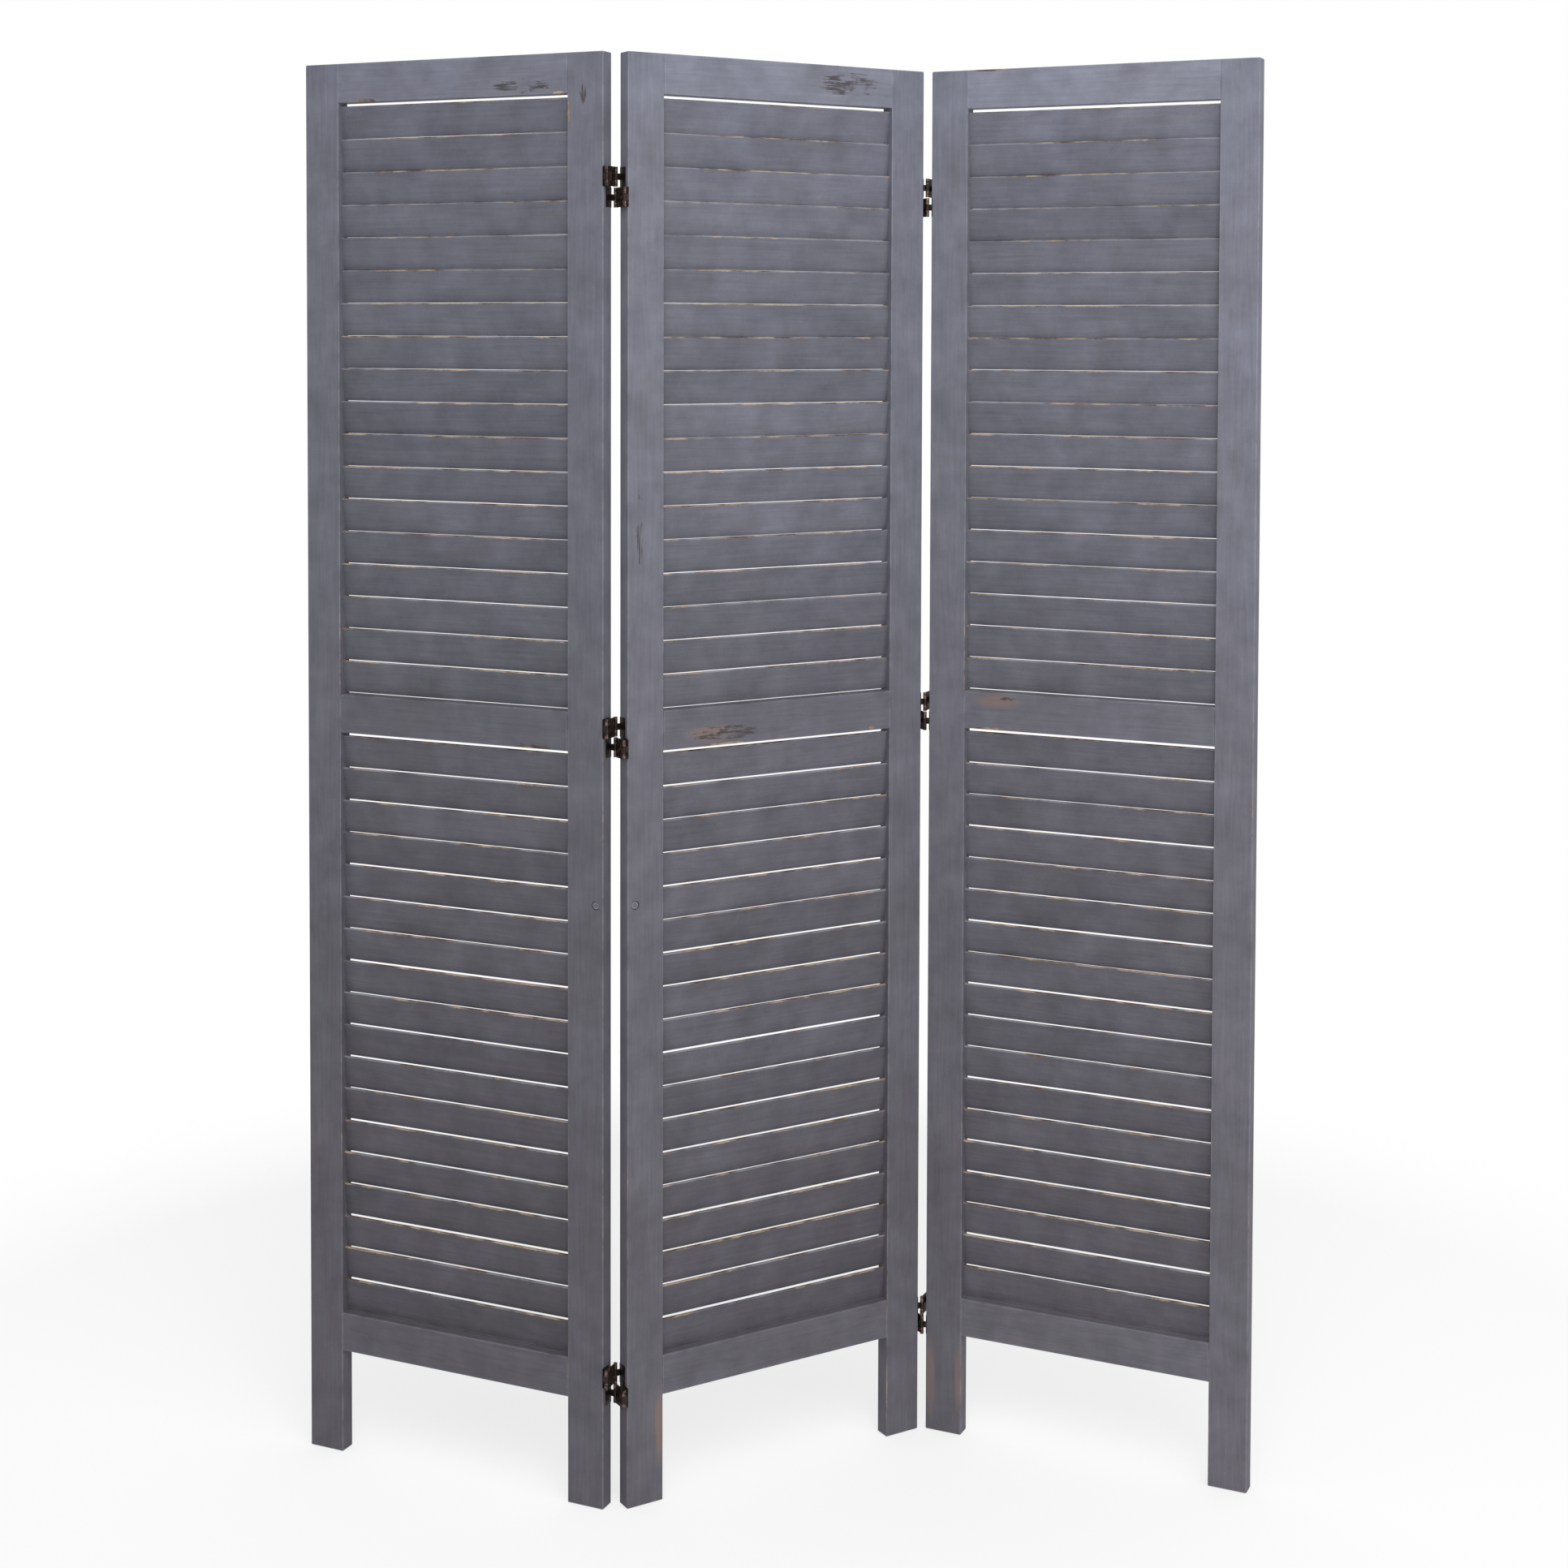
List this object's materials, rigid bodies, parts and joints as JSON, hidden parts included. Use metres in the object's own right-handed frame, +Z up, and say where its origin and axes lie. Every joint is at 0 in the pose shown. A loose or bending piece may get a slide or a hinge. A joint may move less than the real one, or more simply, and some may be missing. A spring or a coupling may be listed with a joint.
{
  "type": "folding screen",
  "caption": "Tall folding screen of louvred wooden panels that stand in a zigzag and fold both ways on link hinges; a room divider for privacy and shade.",
  "frame": {"origin": "on the floor, below the middle of the bounding box of the screen as it stands in the picture", "axes": "+Z up, front faces to -Y, +X to the right seen from the front"},
  "size_m": [1.1424, 0.2408, 1.7],
  "materials": {
    "painted_wood": "chalky grey-blue paint, worn at the edges",
    "bare_wood": "plain hardwood",
    "painted_steel": "painted over with the wood",
    "dark_brass": "dark antique, coppery where it shines",
    "dark_screws": "dark antique",
    "pin_steel": "darkened"
  },
  "bodies": {
    "middle_panel": {"left_fold_bottom_hinge_right_leaf": "dark_brass", "left_fold_mid_hinge_right_leaf": "dark_brass", "left_fold_top_hinge_right_leaf": "dark_brass", "middle_panel_bottom_rail": "painted_wood", "middle_panel_dowels": "bare_wood", "middle_panel_hinge_screws": "dark_screws", "middle_panel_left_stile": "painted_wood", "middle_panel_lower_slats": "painted_wood", "middle_panel_mid_rail": "painted_wood", "middle_panel_right_stile": "painted_wood", "middle_panel_sunk_screw": "painted_steel", "middle_panel_top_rail": "painted_wood", "middle_panel_upper_slats": "painted_wood", "right_fold_bottom_hinge_left_leaf": "dark_brass", "right_fold_mid_hinge_left_leaf": "dark_brass", "right_fold_top_hinge_left_leaf": "dark_brass"},
    "left_fold_upper_links": {"left_fold_bottom_hinge_upper_link": "dark_brass", "left_fold_mid_hinge_upper_link": "dark_brass", "left_fold_top_hinge_upper_link": "dark_brass", "left_fold_upper_link_pins": "pin_steel"},
    "left_fold_lower_links": {"left_fold_bottom_hinge_lower_link": "dark_brass", "left_fold_lower_link_pins": "pin_steel", "left_fold_mid_hinge_lower_link": "dark_brass", "left_fold_top_hinge_lower_link": "dark_brass"},
    "left_panel": {"left_fold_bottom_hinge_left_leaf": "dark_brass", "left_fold_mid_hinge_left_leaf": "dark_brass", "left_fold_top_hinge_left_leaf": "dark_brass", "left_panel_bottom_rail": "painted_wood", "left_panel_dowels": "bare_wood", "left_panel_hinge_screws": "dark_screws", "left_panel_left_stile": "painted_wood", "left_panel_lower_slats": "painted_wood", "left_panel_mid_rail": "painted_wood", "left_panel_pin_middles": "pin_steel", "left_panel_right_stile": "painted_wood", "left_panel_sunk_screw": "painted_steel", "left_panel_top_rail": "painted_wood", "left_panel_upper_slats": "painted_wood"},
    "right_fold_upper_links": {"right_fold_bottom_hinge_upper_link": "dark_brass", "right_fold_mid_hinge_upper_link": "dark_brass", "right_fold_top_hinge_upper_link": "dark_brass", "right_fold_upper_link_pins": "pin_steel"},
    "right_fold_lower_links": {"right_fold_bottom_hinge_lower_link": "dark_brass", "right_fold_lower_link_pins": "pin_steel", "right_fold_mid_hinge_lower_link": "dark_brass", "right_fold_top_hinge_lower_link": "dark_brass"},
    "right_panel": {"right_fold_bottom_hinge_right_leaf": "dark_brass", "right_fold_mid_hinge_right_leaf": "dark_brass", "right_fold_top_hinge_right_leaf": "dark_brass", "right_panel_bottom_rail": "painted_wood", "right_panel_dowels": "bare_wood", "right_panel_hinge_screws": "dark_screws", "right_panel_left_stile": "painted_wood", "right_panel_lower_slats": "painted_wood", "right_panel_mid_rail": "painted_wood", "right_panel_pin_middles": "pin_steel", "right_panel_right_stile": "painted_wood", "right_panel_top_rail": "painted_wood", "right_panel_upper_slats": "painted_wood"}
  },
  "joints": [
    {"name": "left_fold_back_pivot", "type": "hinge", "parent": "middle_panel", "child": "left_fold_upper_links", "pos_m": [-0.18507, -0.09802, 0.907], "axis": [0, 0, 1], "range_deg": [-124.8, 55.2]},
    {"name": "left_fold_front_pivot", "type": "hinge", "parent": "left_fold_upper_links", "child": "left_panel", "pos_m": [-0.19415, -0.11806, 0.907], "axis": [0, 0, 1], "range_deg": [0, 90]},
    {"name": "left_fold_lower_link_pivot", "type": "hinge", "parent": "middle_panel", "child": "left_fold_lower_links", "pos_m": [-0.1738, -0.11692, 0.907], "axis": [0, 0, 1], "range_deg": [0, 90]},
    {"name": "right_fold_front_pivot", "type": "hinge", "parent": "middle_panel", "child": "right_fold_upper_links", "pos_m": [0.18696, 0.09814, 0.907], "axis": [0, 0, 1], "range_deg": [-124.1, 55.9]},
    {"name": "right_fold_back_pivot", "type": "hinge", "parent": "right_fold_upper_links", "child": "right_panel", "pos_m": [0.1963, 0.11806, 0.907], "axis": [0, 0, 1], "range_deg": [0, 90]},
    {"name": "right_fold_lower_link_pivot", "type": "hinge", "parent": "middle_panel", "child": "right_fold_lower_links", "pos_m": [0.1757, 0.11703, 0.907], "axis": [0, 0, 1], "range_deg": [0, 90]}
  ],
  "couplings": [
    {"joint": "left_fold_lower_link_pivot", "follows": "left_fold_front_pivot", "ratio": 1},
    {"joint": "right_fold_lower_link_pivot", "follows": "right_fold_back_pivot", "ratio": 1}
  ]
}
